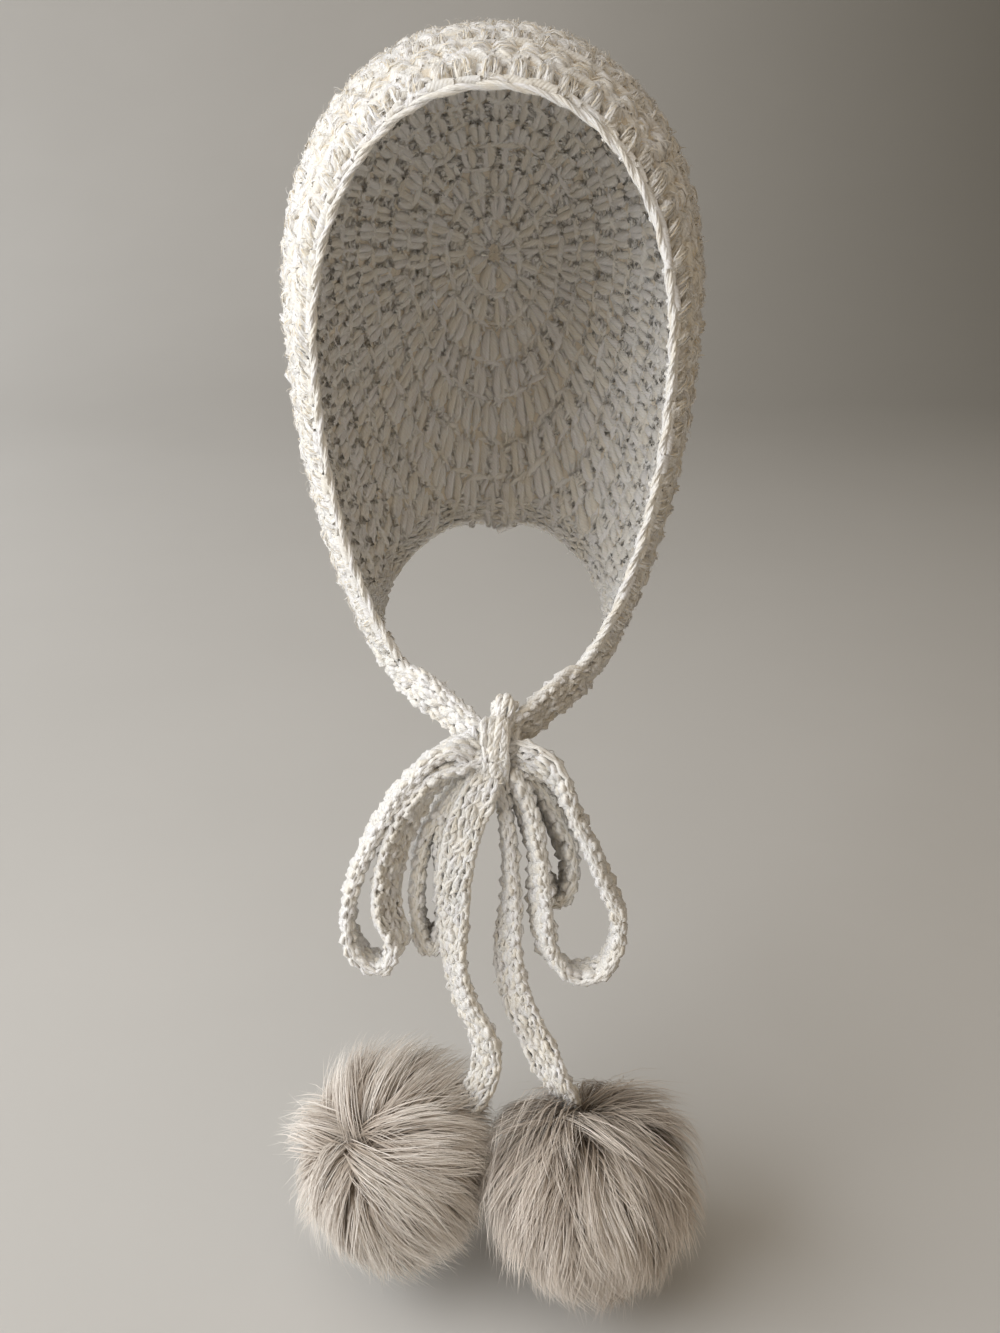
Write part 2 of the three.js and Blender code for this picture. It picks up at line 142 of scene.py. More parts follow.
def add_mesh(name, points, quads, uvs, material, tris=(), tri_uvs=()):
    mesh = bpy.data.meshes.new(name)
    points = np.asarray(points, np.float32).reshape(-1, 3) * MM
    quads = np.asarray(quads, np.int32).reshape(-1, 4)
    tris = np.asarray(tris, np.int32).reshape(-1, 3)
    mesh.vertices.add(len(points))
    mesh.vertices.foreach_set("co", points.ravel())
    loops = np.concatenate([quads.ravel(), tris.ravel()])
    mesh.loops.add(len(loops))
    mesh.loops.foreach_set("vertex_index", loops)
    mesh.polygons.add(len(quads) + len(tris))
    starts = np.concatenate([arange(len(quads)) * 4, len(quads) * 4 + arange(len(tris)) * 3])
    mesh.polygons.foreach_set("loop_start", starts.astype(np.int32))
    mesh.update(calc_edges=True)
    layer = mesh.uv_layers.new(name="UVMap")
    both = [np.asarray(uv, np.float32).reshape(-1, 2) for uv in (uvs, tri_uvs)]
    layer.data.foreach_set("uv", np.concatenate(both).ravel())
    mesh.polygons.foreach_set("use_smooth", np.full(len(mesh.polygons), True))
    mesh.materials.append(material)
    mesh.validate()
    return linked(name, mesh)


def grid(rows, columns, order=(0, 1, 2, 3)):
    """Faces and UVs of a sheet, with each face's corners in the order given."""
    i, j = np.meshgrid(arange(rows), arange(columns), indexing="ij")
    corner = i * (columns + 1) + j
    quads = corner.reshape(-1, 1) + [0, 1, columns + 2, columns + 1]
    uv = stack([j, i], -1).reshape(-1, 1, 2) + SQUARE
    return quads[:, list(order)], uv[:, list(order)]


def directions(paths, normals):
    """A path's own direction, and two across it, the first one on the side of the normals."""
    tangent = unit(np.gradient(paths, axis=-2))
    up = unit(normals - dot(normals, tangent) * tangent)
    return tangent, up, np.cross(tangent, up)


# A strand's UVs: v is its length, and the whole part of u picks one of the yarn's tones
UV_PER_MM = 0.1
TONES = 400
SEAM = 0.01  # keeps u off the whole numbers


def tubes(paths, radii, normals, sides, flat=1.0):
    """Vertices, faces and UVs of many strands of the same number of points."""
    count, n, _ = paths.shape
    _, up, side = directions(paths, normals)
    turn = 2 * PI * arange(sides)[:, None] / sides
    ring = up[:, :, None] * (cos(turn) * flat) + side[:, :, None] * sin(turn)
    points = paths[:, :, None] + ring * np.broadcast_to(radii, (count, n))[..., None, None]
    base = arange(count)[:, None, None] * n * sides + arange(n - 1)[:, None] * sides
    k = arange(sides)
    after = (k + 1) % sides
    quads = stack([base + k, base + after, base + sides + after, base + sides + k], -1)
    length = lengths(paths) * UV_PER_MM + rng.uniform(0, 50, (count, 1))
    tone = rng.integers(0, TONES, (count, 1, 1, 1))
    u = SEAM + (1 - 2 * SEAM) * (k[:, None] + SQUARE[:, 0]) / sides + tone
    v = where(SQUARE[:, 1], length[:, 1:, None, None], length[:, :-1, None, None])
    uv = stack(np.broadcast_arrays(u, v), -1)
    return points.reshape(-1, 3), quads.reshape(-1, 4), uv.reshape(-1, 2)


PLY_SHARE = {2: 0.68, 3: 0.60, 4: 0.54}  # a ply's radius, as a share of its strand's


def plied(paths, radii, normals, plies, turn, sides, loose=0.12):
    """Strands of several plies each, twisted round the strand's middle line once in a turn's length."""
    count, n, _ = paths.shape
    _, up, side = directions(paths, normals)
    length = lengths(paths)
    radii = np.broadcast_to(radii, (count, n))
    start = rng.uniform(0, 2 * PI, (count, 1))
    twist = 2 * PI / turn * rng.uniform(0.8, 1.2, (count, 1))
    share = PLY_SHARE[plies]
    made = []
    for k in range(plies):
        angle = start + 2 * PI * k / plies + twist * length
        off = radii * (1 - share) * (1 + normal((count, 1), loose))
        centre = paths + up * (cos(angle) * off)[..., None] + side * (sin(angle) * off)[..., None]
        size = radii * share * (1 + normal((count, 1), loose))
        made.append(tubes(centre, size, up, sides))
    return made


def ribbons(paths, widths, across, mark=None):
    """Thin tapered strips, each ending in a point. Its mark is its place in the material's tones."""
    count, n, _ = paths.shape
    half = across * widths[..., None] / 2
    sides = stack([paths[:, :-1] - half[:, :-1], paths[:, :-1] + half[:, :-1]], 2)
    points = np.concatenate([sides.reshape(count, -1, 3), paths[:, -1:]], 1)
    each = 2 * (n - 1) + 1
    base = arange(count)[:, None] * each
    quads = (base + 2 * arange(n - 2))[..., None] + [0, 1, 3, 2]
    tris = base + each + [-3, -2, -1]
    share = linspace(0, 1, n)
    mark = (rng.uniform(0, 60, count) if mark is None else mark)[:, None]
    v = stack([share[:-2], share[:-2], share[1:-1], share[1:-1]], -1)
    uv = stack(np.broadcast_arrays(mark[..., None], v), -1)
    tri_uv = stack(np.broadcast_arrays(mark, share[[-2, -2, -1]]), -1)
    return points, quads, uv, tris, tri_uv


def finished(obj, slot, *nodes):
    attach(obj, "root")
    if nodes:
        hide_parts(*nodes)


def yarn_piece(name, parts, material, node):
    """A piece of many strands, in place of a CAD node."""
    points, quads, uvs = zip(*parts)
    offsets = np.cumsum([0] + [len(p) for p in points[:-1]])
    quads = [q + offset for q, offset in zip(quads, offsets)]
    obj = add_mesh(name, np.concatenate(points), np.concatenate(quads), np.concatenate(uvs), material)
    finished(obj, "yarn", node)


def ribbon_mesh(name, strips, material):
    points, quads, uvs, tris, tri_uvs = strips
    return add_mesh(name, points, quads, uvs, material, tris, tri_uvs)


# Materials
def fill(socket, value):
    """Links a node's socket to another one, or sets its number or colour."""
    if isinstance(value, bpy.types.NodeSocket):
        socket.id_data.links.new(value, socket)
    else:
        socket.default_value = (*value, 1) if isinstance(value, tuple) else value


def set_inputs(node, **values):
    """Fills a node's inputs by name, with an underscore for each space."""
    for key, value in values.items():
        fill(node.inputs[key.replace("_", " ")], value)


class Nodes:
    """A material with its nodes."""

    def __init__(self, name):
        self.material = bpy.data.materials.new(name)
        self.material.use_nodes = True
        self.tree = self.material.node_tree
        self.shader = self.tree.nodes["Principled BSDF"]

    def new(self, kind, **inputs):
        node = self.tree.nodes.new("ShaderNode" + kind)
        set_inputs(node, **inputs)
        return node

    def coordinates(self, kind):
        return self.new("TexCoord").outputs[kind]

    def split(self, vector):
        """A vector's x and y."""
        node = self.new("SeparateXYZ", Vector=vector)
        return node.outputs[0], node.outputs[1]

    def vector(self, x, y=0.0):
        return self.new("CombineXYZ", X=x, Y=y).outputs[0]

    def math(self, kind, *values):
        node = self.new("Math")
        node.operation = kind
        for socket, value in zip(node.inputs, values):
            fill(socket, value)
        return node.outputs[0]

    def blend(self, share, a, b):
        """Colour a, with colour b over it in the share given."""
        node = self.new("Mix")
        node.data_type = "RGBA"
        for i, value in ((0, share), (6, a), (7, b)):
            fill(node.inputs[i], value)
        return node.outputs[2]

    def noise(self, vector, scale=1.0, detail=2.0, rough=0.5):
        node = self.new("TexNoise", Vector=vector, Scale=scale, Detail=detail, Roughness=rough)
        return node.outputs["Fac"]

    def random(self, value):
        """One random number for each value."""
        node = self.new("TexWhiteNoise")
        node.noise_dimensions = "1D"
        set_inputs(node, W=value)
        return node.outputs["Value"]

    def steps(self, value, low, high, most=1.0):
        """A share that is 0 at the low value and the most at the high one."""
        return self.new("MapRange", Value=value, From_Min=low, From_Max=high, To_Max=most).outputs[0]

    def layers(self, colour, *layers):
        """A colour with others over it. Each has its value, low, high and most, and its colour."""
        for *steps, over in layers:
            colour = self.blend(self.steps(*steps), colour, over)
        return colour

    def bump(self, height, distance, strength=1.0):
        node = self.new("Bump", Height=height, Distance=distance, Strength=strength)
        set_inputs(self.shader, Normal=node.outputs[0])

    def surface(self, colour, **values):
        set_inputs(self.shader, Base_Color=colour, **values)
        return self.material


# The last of these three colours is painted shade, for the grooves between the threads.
IVORY, WHITE, GROOVE_SHADE = (0.94, 0.90, 0.83), (0.96, 0.95, 0.93), (0.78, 0.68, 0.54)
GOLD, LILAC = (0.90, 0.82, 0.67), (0.93, 0.92, 0.95)
STRAW, PALE = (0.88, 0.80, 0.67), (0.96, 0.955, 0.94)


def yarn(name, threads, turn=7.0):
    """Fuzzy yarn: fine threads twisted along each ply, with plies of several tones, and painted shade in
    the grooves between the threads.
    """
    n = Nodes(name)
    u, v = n.split(n.coordinates("UV"))
    place = n.coordinates("Object")
    tone = n.random(n.math("FLOOR", u))
    twisted = n.math("ADD", u, n.math("MULTIPLY", v, 1 / UV_PER_MM / turn))
    phase = n.math("MULTIPLY", twisted, threads)
    ridge = n.math("ABSOLUTE", n.math("SINE", n.math("MULTIPLY", phase, PI)))
    fibre_at = n.vector(n.math("MULTIPLY", phase, 2.6), n.math("MULTIPLY", v, 3.0))
    fibre = n.noise(fibre_at, detail=3.0, rough=0.65)
    patch = n.noise(place, scale=120.0)
    fuzz = n.noise(place, scale=1500.0, rough=0.6)
    colour = n.layers(
        IVORY,
        (patch, 0.35, 0.65, WHITE),
        (tone, 0.76, 0.78, 0.4, GOLD),
        (tone, 0.24, 0.22, 0.5, LILAC),
        (fibre, 0.56, 0.70, 0.4, STRAW),
        (fibre, 0.46, 0.34, 0.55, PALE),
        # Painted shade: a deeper tan in the grooves between the threads.
        (ridge, 0.5, 0.0, 0.25, GROOVE_SHADE),
    )
    height = n.math("ADD", n.math("MULTIPLY", ridge, 0.6), n.math("MULTIPLY", fibre, 0.9))
    n.bump(n.math("ADD", height, n.math("MULTIPLY", fuzz, 0.5)), distance=0.40 * MM, strength=0.45)
    return n.surface(colour, Roughness=0.6, Specular_IOR_Level=0.3, Sheen_Weight=0.8, Sheen_Roughness=0.6)


def shaded_fabric_back(name):
    """The soft middle of the fabric, seen between its stitches, in a darker tan that is painted shade for
    the holes.
    """
    n = Nodes(name)
    place = n.coordinates("Object")
    cells = n.noise(place, scale=380.0, detail=3.0, rough=0.6)
    broad = n.noise(place, scale=90.0)
    # Painted shade: tans darker than the yarn, for the shaded holes between the stitches.
    colour = n.blend(cells, (0.76, 0.66, 0.52), (0.88, 0.81, 0.70))
    colour = n.layers(colour, (broad, 0.3, 0.7, 0.3, (0.88, 0.83, 0.74)))
    n.bump(cells, distance=1.2 * MM)
    return n.surface(colour, Roughness=0.85)


def fur_material(name, root, middle, tip, light, roughness=0.38, specular=0.5):
    """Hair that goes from the colour of its root to that of its tip, in locks and hairs of many tones.
    The dark roots are partly the fur's own tone and partly painted shade deep in the fur.
    """
    n = Nodes(name)
    strand, along = n.split(n.coordinates("UV"))
    lock = n.noise(n.vector(n.math("MULTIPLY", strand, 1.3)), detail=1.0)
    hair = n.noise(n.vector(n.math("MULTIPLY", strand, 41.0)), detail=1.0)
    place = n.math("ADD", along, n.math("MULTIPLY", n.math("SUBTRACT", hair, 0.5), 0.5))
    colour = n.layers(
        # Darker towards the root: partly the fur's own tone, partly painted shade deep in the fur.
        root,
        (place, 0.10, 0.48, middle),
        (place, 0.45, 0.9, tip),
        (lock, 0.5, 0.68, 0.7, light),
        (lock, 0.46, 0.34, 0.45, root),
        (hair, 0.55, 0.72, 0.6, light),
        (hair, 0.44, 0.30, 0.55, root),
    )
    return n.surface(colour, Roughness=roughness, Specular_IOR_Level=specular, Sheen_Weight=0.15)


def fibre_material(name):
    n = Nodes(name)
    mark = n.noise(n.coordinates("UV"), scale=3.0, detail=1.0)
    colour = n.layers(
        (0.90, 0.89, 0.88), (mark, 0.47, 0.55, (0.86, 0.79, 0.66)), (mark, 0.60, 0.64, (0.74, 0.64, 0.48))
    )
    return n.surface(colour, Roughness=0.4, Sheen_Weight=0.3)


FIBRE = fibre_material("loose_fibre")
YARN = yarn("ivory_yarn", threads=5)
YARN_INSIDE = yarn("ivory_yarn_inside", threads=6, turn=10.0)
YARN_CORD = yarn("ivory_yarn_cord", threads=3, turn=9.0)
YARN_FINE = yarn("ivory_yarn_fine", threads=4, turn=6.0)
# Its darker tan is painted shade for the holes between the stitches.
BACK_SHADE = shaded_fabric_back("yarn_inside")


# The hood: rows of chunky stitches parallel to the face edge
ROW_WANTED = 10.6
STITCH = 9.2
FIRST = -1.6  # where the first row starts, past the face edge
EVEN_ROWS = 8  # the rows in front that have the same number of stitches
OVERHANG = 4.0  # how far a strand may stand out past the face edge
stages = linspace(3.0, 0.03, 700)
walk = hood_point(stages[:, None], np.radians([95, 125, 155, 180]))
run = np.concatenate([[0], np.cumsum(np.linalg.norm(np.diff(walk, axis=0), axis=-1).mean(1))])
ROWS = round((run[-1] - FIRST) / ROW_WANTED)
ROW = (run[-1] - FIRST) / ROWS

LINES = []  # for each row, lengths and angles along it, and whether it is closed to a ring


def stage_at(distance):
    """The stage at a distance from the face edge."""
    return interp(distance, run, stages)


def hood_rows():
    """The stitches: row number, distance from the face edge, place along the row, and pitch."""
    made = []
    even = 0
    for i in range(ROWS):
        distance = FIRST + (i + 0.5) * ROW
        half = neck_half(stage_at(distance + 0.35 * ROW))
        closed = half == 0
        angles = linspace(half, 2 * PI - half, 721)
        length = lengths(hood_point(stage_at(distance), angles))
        count = max(5, round(length[-1] / STITCH))
        if i < EVEN_ROWS:
            even = even or count
            count = even
        pitch = length[-1] / count
        if closed:
            places = (arange(count) + (0.25 if i % 2 else 0.75)) * pitch
        elif i % 2:
            places = arange(count + 1) * pitch
        else:
            places = (arange(count) + 0.5) * pitch
        LINES.append((length, angles, closed))
        made += [(i, distance, place, pitch) for place in places]
    return np.array(made)


STITCHES = hood_rows()


def on_hood(stitches, u, w, h):
    """Points at u (share of the pitch), w (share of the row, towards the back) and height h."""
    row, distance, place, pitch = stitches.T[..., None]
    distance = distance + (w - 0.5) * ROW
    place = place + u * pitch
    angle = np.empty_like(place)
    for i in np.unique(row).astype(int):
        length, angles, closed = LINES[i]
        mine = row[:, 0] == i
        at = place[mine] % length[-1] if closed else place[mine]
        angle[mine] = interp(at, length, angles)
    point, along, out = hood_frame(stage_at(clip(distance, 0, run[-1])), angle)
    return point + out * h[..., None] - along * clip(distance, -OVERHANG, 0)[..., None], out


# How far the strands sink into the fabric, and how many millimetres a turn of their plies takes
SINK = 2.3
INNER_SINK = -1.2
HOOD_PLY_TURN = 13.0

THREADS = []  # the fine threads of the yarn's halo: paths, widths and directions across
THREAD_WIDE = 0.42
THREAD_ENDS = [0, 0.3, 0.75, 1], [0.4, 1, 0.9, 0]  # places along a thread, and shares of its width


def add_threads(paths, radii, normals, each):
    """Fine threads that follow each strand on its outer side."""
    tangent, up, side = directions(paths, normals)
    count, n, _ = paths.shape
    shape = (count, each, 1)
    angle = rng.uniform(-1.8, 1.5, shape) + rng.uniform(-0.05, 0.16, shape) * lengths(paths)[:, None]
    off = np.broadcast_to(radii, (count, n))[:, None] * rng.uniform(0.92, 1.16, shape)
    way = up[:, None] * cos(angle)[..., None] + side[:, None] * sin(angle)[..., None]
    path = (paths[:, None] + way * off[..., None]).reshape(-1, n, 3)
    across = np.cross(np.broadcast_to(tangent[:, None], way.shape), way).reshape(-1, n, 3)
    width = THREAD_WIDE * interp(linspace(0, 1, n), *THREAD_ENDS)
    THREADS.append((path, width * rng.uniform(0.6, 1.4, (len(path), 1)), across))


def strand_on_hood(stitches, path, radius, plies=3, sides=3, sink=SINK, spread=0.3, lean=0.0, threads=0):
    """One strand of every stitch, with its plies; a single tube where plies is 1."""
    u, w, h = np.asarray(path, float).T
    wobble = normal((len(stitches), 6, 1), 1.0, limit=2.2)
    shift, push, lift, grow, stretch, slant = np.moveaxis(wobble, 1, 0)
    points, out = on_hood(
        stitches,
        u * (1 + 0.13 * stretch) + 0.045 * shift + lean * (w - 0.3),
        w + 0.055 * push + 0.13 * slant * u,
        h - sink + spread * lift,
    )
    size = np.asarray(radius) * (1 + 0.09 * grow)
    if threads:
        add_threads(points[:, 1:], size[:, 1:], out[:, 1:], threads)
    if plies == 1:
        return [tubes(points, size, out, sides)]
    return plied(points, size, out, plies, HOOD_PLY_TURN, sides)


# Paths of a stitch's strands: share of the pitch, share of the row towards the back, height
LEG = [
    (0.15, -0.14, -0.5), (0.17, 0.06, 1.2), (0.165, 0.27, 2.4),
    (0.15, 0.50, 2.8), (0.09, 0.74, 2.3), (-0.04, 0.95, 0.8),
]
LEG_SIZE = [1.5, 2.05, 2.4, 2.4, 2.05, 1.4]
LOOP_FRONT = [
    (-0.48, 0.54, 0.3), (-0.31, 0.88, 1.9), (0.02, 1.07, 2.5), (0.31, 0.86, 1.8), (0.47, 0.52, 0.4),
]
LOOP_BACK = [
    (-0.60, 0.96, 0.5), (-0.34, 1.12, 1.9), (0.0, 1.25, 2.4), (0.34, 1.08, 1.9), (0.58, 0.90, 0.5),
]
LOOP_SIZE = [1.3, 1.8, 2.0, 1.8, 1.3]
BRIDGE = [(0.24, 0.40, 1.0), (0.42, 0.58, 2.2), (0.57, 0.60, 2.3), (0.76, 0.42, 1.0)]
BRIDGE_SIZE = [1.3, 1.85, 1.85, 1.3]
# Rows worked from the other side show a bump across and slanting legs
BUMP_LOW = [
    (-0.60, 0.26, -0.6), (-0.40, 0.34, 1.2), (-0.10, 0.42, 2.4),
    (0.18, 0.40, 2.3), (0.42, 0.28, 1.0), (0.60, 0.16, -0.6),
]
BUMP_HIGH = [
    (-0.58, 0.58, -0.4), (-0.36, 0.66, 1.4), (-0.08, 0.76, 2.4),
    (0.20, 0.78, 2.2), (0.42, 0.72, 1.0), (0.62, 0.62, -0.5),
]
BUMP_SIZE = [1.4, 2.0, 2.4, 2.4, 2.0, 1.4]
SLANT = [(-0.34, -0.04, 0.8), (-0.10, 0.10, 2.5), (0.16, 0.18, 2.6), (0.40, 0.10, 0.9)]
INNER_BAR = [(-0.6, 0.0, -1.2), (-0.22, 0.06, -1.9), (0.22, 0.06, -1.9), (0.6, 0.0, -1.2)]
INNER_LEG = [(0.12, 0.02, -1.4), (0.22, 0.32, -2.7), (0.2, 0.68, -2.6), (0.1, 1.0, -1.3)]
INNER_SIZE = [1.6, 2.2, 2.2, 1.6]


def mirrored(path):
    return [(-u, w, h) for u, w, h in path]


def hood_piece(name, stitches):
    """Rows of plump drops, and between them rows of bumps across."""
    front = stitches[stitches[:, 0] % 2 == 0]
    back = stitches[stitches[:, 0] % 2 == 1]
    lean = normal((len(front), 1), 0.16)
    second = [(0.95 * u, w + 0.03, h - 0.15) for u, w, h in mirrored(LEG)]
    parts = []
    for leg in (LEG, second):
        parts += strand_on_hood(front, leg, LEG_SIZE, plies=4, lean=lean, threads=6)
    parts += strand_on_hood(front, BRIDGE, BRIDGE_SIZE, plies=2)
    parts += strand_on_hood(front, LOOP_BACK, LOOP_SIZE, plies=2)
    for bump in (BUMP_LOW, BUMP_HIGH):
        parts += strand_on_hood(back, bump, BUMP_SIZE, spread=0.5, threads=6)
    parts += strand_on_hood(back, SLANT, BRIDGE_SIZE, plies=2)
    parts += strand_on_hood(stitches, LOOP_FRONT, LOOP_SIZE, plies=2)
    yarn_piece(name, parts, YARN, "hood_shell")


def hood_inside(name, stitches):
    """Plainer strands on the inside."""
    parts = []
    for path in (INNER_BAR, INNER_LEG, mirrored(INNER_LEG)):
        parts += strand_on_hood(stitches, path, INNER_SIZE, plies=1, sides=4, sink=INNER_SINK)
    yarn_piece(name, parts, YARN_INSIDE, "hood_shell")


for name, first, last in (("front", 0, 5), ("middle", 5, 10), ("back", 10, ROWS)):
    mine = (STITCHES[:, 0] >= first) & (STITCHES[:, 0] < last)
    hood_piece(f"hood_{name}_rows", STITCHES[mine])
hood_inside("hood_inner_strands", STITCHES)

# Closer rows where the neck opening begins, for a round edge at the nape
NAPE_ROWS = NAPE_STAGE + np.array([0.0, 0.013, 0.02, 0.032, 0.05, 0.075])
NAPE_SHIFT = 0.012  # how much further back, as a stage, the layers reach than the opening
LAYER_EDGE = -1.5  # the height of a layer at its edges
LAYER_LUMP = 0.25


def hood_layer(name, height, rows, columns):
    """The strands inside the fabric, as one curved layer behind the stitches, in a darker tan that paints
    the shade seen through the holes.
    """
    v = stage_at(linspace(1.0, run[-1], rows))
    v[-1] = 0.002
    v = np.sort(np.concatenate([v, NAPE_ROWS]))[::-1]
    half = neck_half(np.maximum(v - NAPE_SHIFT, 0))[:, None]
    angle = half + (2 * PI - 2 * half) * linspace(0, 1, columns + 1)
    point, _, out = hood_frame(np.broadcast_to(v[:, None], angle.shape), angle)
    row, column = arange(len(v))[:, None], arange(columns + 1)
    near_face, near_neck = row / 2, np.minimum(column, columns - column) / 2
    near = where(half > 0, np.minimum(near_face, near_neck), near_face)
    lumps = LAYER_LUMP * (sin(0.9 * column) * sin(1.3 * row))
    points = point + out * (mix(LAYER_EDGE, height, clip(near, 0, 1)) + lumps)[..., None]
    quads, uv = grid(len(v) - 1, columns)
    finished(add_mesh(name, points, quads, uv / 10, BACK_SHADE), "yarn", "hood_shell")


hood_layer("hood_outer_layer", height=0.15, rows=50, columns=66)
hood_layer("hood_inner_layer", height=-1.3, rows=44, columns=60)


# The braided edging: two plied strands laid round each other, and the chain of the rim beside them
EDGE_START = math.radians(3.0)  # how far the edging runs into the neck opening
BRAID = {"turn": 25, "wide": 0.68, "high": 0.78, "radius": 1.14}
RIM = {"turn": 18, "wide": 0.8, "radius": 0.88}


def edging():
    start = neck_half(3.0) - EDGE_START
    point, along, out = hood_frame(3.0, linspace(start, 2 * PI - start, 300))
    inward = unit(along - 0.2 * out)
    outward = unit(out + 0.2 * along)
    line = point + along * 0.3 + inward * 2.75
    length = lengths(line)
    middle = line + inward * 0.7
    taper = clip(np.minimum(length, length[-1] - length) / 5, 0.15, 1)
    parts = []
    for k in range(2):
        turn = 2 * PI * (length / BRAID["turn"] + k / 2) + 0.35 * sin(length / 13 + k)
        wide, high = BRAID["wide"] * cos(turn), BRAID["high"] * sin(turn)
        path = middle + inward * wide[:, None] + outward * high[:, None]
        radius = BRAID["radius"] * (1 + 0.09 * sin(length / 3.1 + 2 * k)) * taper
        parts += plied(path[None], radius[None], outward[None], plies=4, turn=17.0, sides=5, loose=0.06)
    rim = point + along * 1.3 + out * 0.1
    for k in range(2):
        turn = 2 * PI * (length / RIM["turn"] + k / 2)
        wide, high = 0.2 + RIM["wide"] * cos(turn), -0.5 + RIM["wide"] * sin(turn)
        path = rim + along * wide[:, None] + outward * high[:, None]
        radius = RIM["radius"] * taper
        parts += plied(path[None], radius[None], outward[None], plies=2, turn=12.0, sides=4)
    yarn_piece("face_braid", parts, YARN_CORD, "face_edging")


edging()


# Bands: the neck band, ties, bow loops and tails
def catmull(points, count):
    """Points on a centripetal Catmull-Rom curve through the given ones."""
    p = np.asarray(points, float)
    p = np.vstack([2 * p[0] - p[1], p, 2 * p[-1] - p[-2]])
    made = []
    for t in linspace(0, len(p) - 3, count):
        k = min(int(t), len(p) - 4)
        f = t - k
        a, b, c, d = p[k : k + 4]
        ab, bc, cd = (max(np.linalg.norm(y - x) ** 0.5, 1e-6) for x, y in ((a, b), (b, c), (c, d)))
        m1 = ((b - a) / ab - (c - a) / (ab + bc) + (c - b) / bc) * bc
        m2 = ((c - b) / bc - (d - b) / (bc + cd) + (d - c) / cd) * bc
        f2, f3 = f * f, f * f * f
        ends = (2 * f3 - 3 * f2 + 1) * b + (3 * f2 - 2 * f3) * c
        made.append(ends + (f3 - 2 * f2 + f) * m1 + (f3 - f2) * m2)
    return np.array(made)


class Band:
    """A flat band along a list of sections: middle, direction of its width, width, thickness."""

    def __init__(self, at, across, wide, thick):
        count = 40 * len(at)
        place = linspace(0, len(at) - 1, count)
        keys = arange(len(at))
        self.at = catmull(at, count)
        self.length = lengths(self.at)
        self.total = self.length[-1]
        across = stack([interp(place, keys, v) for v in np.asarray(across, float).T], -1)
        _, self.across, self.normal = directions(self.at, across)
        self.wide = interp(place, keys, wide)
        self.thick = interp(place, keys, np.full(len(at), thick))

    def pick(self, values, s):
        return stack([interp(s, self.length, v) for v in values.T], -1)

    def point(self, s, c, h):
        """A point at length s, at c across as a share of the width, and h off the middle."""
        at, across, normal = (self.pick(x, s) for x in (self.at, self.across, self.normal))
        wide = interp(s, self.length, self.wide)
        return at + across * (c * wide)[..., None] + normal * h[..., None], unit(normal)


# A leg of a band's stitch: share of the row along, share of the stitch across, share of the height
BAND_LEG = np.array([
    (-0.16, 0.03, 0.05), (0.16, 0.25, 0.8), (0.50, 0.33, 1.0), (0.84, 0.17, 0.8), (1.08, -0.06, 0.1),
])
BAND_SIZE = np.array([1.0, 1.6, 1.85, 1.65, 1.05]) / 4.3  # its radius, per width of the stitch
BAND_SUNK = 0.35  # how far the stitches' middle line stays inside the band's faces
BAND_FILLED = 0.496  # the share of the thickness that the soft middle fills
BAND_ROW = 5.6

FUZZ = []  # where the loose fibres of the bands start, and the direction out there


def add_fuzz(band):
    count = int(band.total * 1.2)
    s = rng.uniform(0, band.total, count)
    face = where(rng.uniform(0, 1, count) < 0.5, 1.0, -1.0)
    c = rng.uniform(-0.55, 0.55, count)
    edge = np.abs(c) > 0.45
    at, out = band.point(s, c, face * interp(s, band.length, band.thick) / 2 * (1 - 0.8 * edge))
    sideways = band.pick(band.across, s) * edge[:, None] * np.sign(c)[:, None]
    FUZZ.append((at, unit(out * face[:, None] + sideways)))


def band_legs(band, rows, columns, row, top):
    """Columns of V stitches on both faces, each with two legs."""
    i, j = np.meshgrid(arange(rows), arange(columns), indexing="ij")
    start = ((i + 0.5 * (j % 2)) * row).ravel()
    keep = start < band.total - 0.3 * row
    start = start[keep][:, None]
    middle = (((j.ravel()[keep] + 0.5) / columns - 0.5) * 0.96)[:, None]
    width = np.mean(band.wide)
    size = width / columns
    along, across, high = BAND_LEG.T
    parts = []
    for face in (1, -1):
        whole = np.moveaxis(normal((len(start), 4, 1), 1.0), 1, 0)
        for side in (1, -1):
            one = np.moveaxis(normal((len(start), 4, 1), 1.0), 1, 0)
            s = start + (along * (1 + 0.10 * one[0]) + 0.10 * whole[0] + 0.05 * one[1]) * row
            c = side * across + 0.10 * whole[1] + 0.16 * whole[2] * (along - 0.4)
            c = middle + (c + 0.05 * one[2]) * size / width
            h = face * (high * top * (1 + 0.18 * whole[3] + 0.08 * one[3]) + 0.1)
            points, out = band.point(clip(s, 0, band.total), c, h)
            parts += plied(points, BAND_SIZE * size, out * face, plies=2, turn=10.0, sides=3)
    return parts


def band_rungs(band, rows, columns, row, top):
    """Strands across the band, between the rows."""
    across = linspace(-0.5, 0.5, 2 * columns + 1)
    index = arange(rows + 1)[:, None]
    sag = 0.35 * row * np.abs(sin(PI * columns * across))
    s = index * row + sag + rng.normal(0, 0.2, (rows + 1, 1))
    h = 0.55 * top * cos(2 * PI * columns * across) * where(index % 2, 1, -1)
    points, out = band.point(clip(s, 0, band.total), np.broadcast_to(across, s.shape) * 0.96, h)
    return tubes(points, np.full(s.shape, 0.9), out, sides=4)


def band_middle(band, line):
    """The soft middle behind the stitches."""
    none = np.zeros_like(line)
    points, out = band.point(line, none, none)
    half = 0.41 * interp(line, band.length, band.wide)
    flat = BAND_FILLED * np.mean(band.thick) / 2 / np.mean(half)
    return tubes(points, half, out, sides=8, flat=flat)


